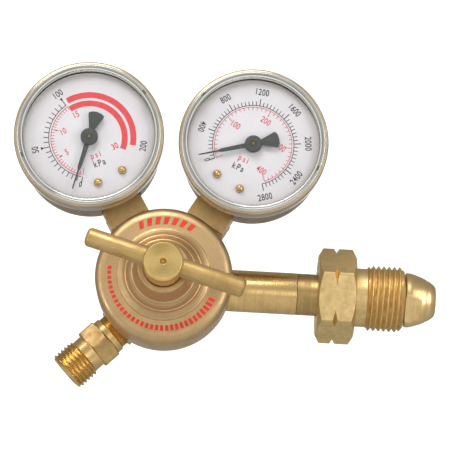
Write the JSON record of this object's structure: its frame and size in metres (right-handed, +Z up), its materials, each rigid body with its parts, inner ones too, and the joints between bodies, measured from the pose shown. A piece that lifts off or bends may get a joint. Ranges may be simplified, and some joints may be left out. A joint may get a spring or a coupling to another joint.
{
  "type": "gas regulator, single-stage fuel-gas, with two gauges",
  "caption": "Brass single-stage fuel-gas regulator: bell bonnet with T-handle screw, two 2 in dial gauges, left-hand inlet nut with bullet nipple, threaded hose outlet.",
  "frame": {"origin": "tip of the inlet nipple, on the inlet axis", "axes": "+X out of the inlet along its axis, front with the T-handle and dials towards -Y, +Z up"},
  "size_m": [0.1465, 0.0641, 0.1086],
  "materials": {
    "machined_brass": "machined",
    "drawn_brass": "drawn bar, lengthwise streaks",
    "bonnet_gold": "satin gold",
    "case_gold": "gold-lacquered, polished",
    "steel": "plain",
    "black_rubber": "matt",
    "nylon": "natural",
    "clear_lens": "clear polycarbonate, gloss",
    "dial_white": "printed white dial",
    "pointer_black": "matt black"
  },
  "bodies": {
    "regulator": {"regulator_body": "machined_brass", "bonnet": "bonnet_gold", "range_spring": "steel", "slip_ring": "nylon", "diaphragm": "black_rubber", "nozzle": "machined_brass", "valve_spring": "steel", "inlet_nipple": "machined_brass", "inlet_filter": "machined_brass", "hose_adapter": "machined_brass", "low_gauge_case": "case_gold", "low_gauge_lens": "clear_lens", "low_gauge_dial": "dial_white", "low_gauge_socket": "machined_brass", "low_gauge_bourdon_tube": "machined_brass", "low_gauge_movement_frame": "machined_brass", "low_gauge_hairspring": "machined_brass", "low_gauge_blowout_plug": "black_rubber", "low_gauge_dial_screw_1": "machined_brass", "low_gauge_dial_screw_2": "machined_brass", "low_gauge_movement_screw_1": "steel", "low_gauge_movement_screw_2": "steel", "high_gauge_case": "case_gold", "high_gauge_lens": "clear_lens", "high_gauge_dial": "dial_white", "high_gauge_socket": "machined_brass", "high_gauge_bourdon_tube": "machined_brass", "high_gauge_movement_frame": "machined_brass", "high_gauge_hairspring": "machined_brass", "high_gauge_blowout_plug": "black_rubber", "high_gauge_dial_screw_1": "machined_brass", "high_gauge_dial_screw_2": "machined_brass", "high_gauge_movement_screw_1": "steel", "high_gauge_movement_screw_2": "steel"},
    "spring_button": {"spring_button": "steel"},
    "handle": {"adjusting_screw": "drawn_brass", "t_bar_handle": "drawn_brass"},
    "diaphragm_centre": {"diaphragm_plate": "steel", "diaphragm_stud": "machined_brass"},
    "valve": {"valve_poppet": "steel", "valve_seat_ring": "black_rubber"},
    "inlet_nut": {"inlet_nut": "machined_brass"},
    "low_gauge_sector": {"low_gauge_sector_gear": "machined_brass"},
    "low_gauge_link": {"low_gauge_link": "steel"},
    "low_gauge_pointer": {"low_gauge_arbor_pinion": "machined_brass", "low_gauge_pointer": "pointer_black"},
    "low_gauge_tube_end": {"low_gauge_tube_end": "machined_brass"},
    "high_gauge_sector": {"high_gauge_sector_gear": "machined_brass"},
    "high_gauge_link": {"high_gauge_link": "steel"},
    "high_gauge_pointer": {"high_gauge_arbor_pinion": "machined_brass", "high_gauge_pointer": "pointer_black"},
    "high_gauge_tube_end": {"high_gauge_tube_end": "machined_brass"}
  },
  "joints": [
    {"name": "screw_travel", "type": "slide", "parent": "regulator", "child": "spring_button", "axis": [0, 1, 0], "range_m": [0, 0.00318], "deforming": ["range_spring"]},
    {"name": "screw_turn", "type": "hinge", "parent": "spring_button", "child": "handle", "pos_m": [-0.0932, 0, 0], "axis": [0, 1, 0], "range_deg": [0, 900]},
    {"name": "diaphragm_lift", "type": "slide", "parent": "regulator", "child": "diaphragm_centre", "axis": [0, 1, 0], "range_m": [0, 0.0009], "deforming": ["diaphragm"]},
    {"name": "valve_lift", "type": "slide", "parent": "regulator", "child": "valve", "axis": [0, 1, 0], "range_m": [0, 0.0009], "deforming": ["valve_spring"]},
    {"name": "inlet_nut_spin", "type": "hinge", "parent": "regulator", "child": "inlet_nut", "pos_m": [0, 0, 0], "axis": [1, 0, 0], "continuous": true},
    {"name": "low_gauge_sector_turn", "type": "hinge", "parent": "regulator", "child": "low_gauge_sector", "pos_m": [-0.11551, 0, 0.03699], "axis": [0, -1, 0], "range_deg": [0, 27]},
    {"name": "low_gauge_pointer_turn", "type": "hinge", "parent": "regulator", "child": "low_gauge_pointer", "pos_m": [-0.1212, 0, 0.04641], "axis": [0, -1, 0], "range_deg": [-270, 0], "deforming": ["low_gauge_hairspring"]},
    {"name": "low_gauge_link_turn", "type": "hinge", "parent": "low_gauge_sector", "child": "low_gauge_link", "pos_m": [-0.11027, 0, 0.03865], "axis": [0, -1, 0], "range_deg": [-27, 0]},
    {"name": "low_gauge_tip_travel", "type": "slide", "parent": "regulator", "child": "low_gauge_tube_end", "axis": [-0.5165, 0, 0.8563], "range_m": [0, 0.00258], "deforming": ["low_gauge_bourdon_tube"]},
    {"name": "high_gauge_sector_turn", "type": "hinge", "parent": "regulator", "child": "high_gauge_sector", "pos_m": [-0.07107, 0, 0.03757], "axis": [0, -1, 0], "range_deg": [0, 27]},
    {"name": "high_gauge_pointer_turn", "type": "hinge", "parent": "regulator", "child": "high_gauge_pointer", "pos_m": [-0.06549, 0, 0.04704], "axis": [0, -1, 0], "range_deg": [-270, 0], "deforming": ["high_gauge_hairspring"]},
    {"name": "high_gauge_link_turn", "type": "hinge", "parent": "high_gauge_sector", "child": "high_gauge_link", "pos_m": [-0.06711, 0, 0.03375], "axis": [0, -1, 0], "range_deg": [-27, 0]},
    {"name": "high_gauge_tip_travel", "type": "slide", "parent": "regulator", "child": "high_gauge_tube_end", "axis": [0.5075, 0, 0.8616], "range_m": [0, 0.00258], "deforming": ["high_gauge_bourdon_tube"]}
  ],
  "couplings": [
    {"joint": "screw_travel", "follows": "screw_turn", "m_per_rad": 0.00020213},
    {"joint": "valve_lift", "follows": "diaphragm_lift", "ratio": 1},
    {"joint": "low_gauge_pointer_turn", "follows": "low_gauge_sector_turn", "ratio": -10},
    {"joint": "low_gauge_link_turn", "follows": "low_gauge_sector_turn", "ratio": -1},
    {"joint": "low_gauge_tip_travel", "follows": "low_gauge_sector_turn", "m_per_rad": 0.00545},
    {"joint": "high_gauge_pointer_turn", "follows": "high_gauge_sector_turn", "ratio": -10},
    {"joint": "high_gauge_link_turn", "follows": "high_gauge_sector_turn", "ratio": -1},
    {"joint": "high_gauge_tip_travel", "follows": "high_gauge_sector_turn", "m_per_rad": 0.00545}
  ]
}
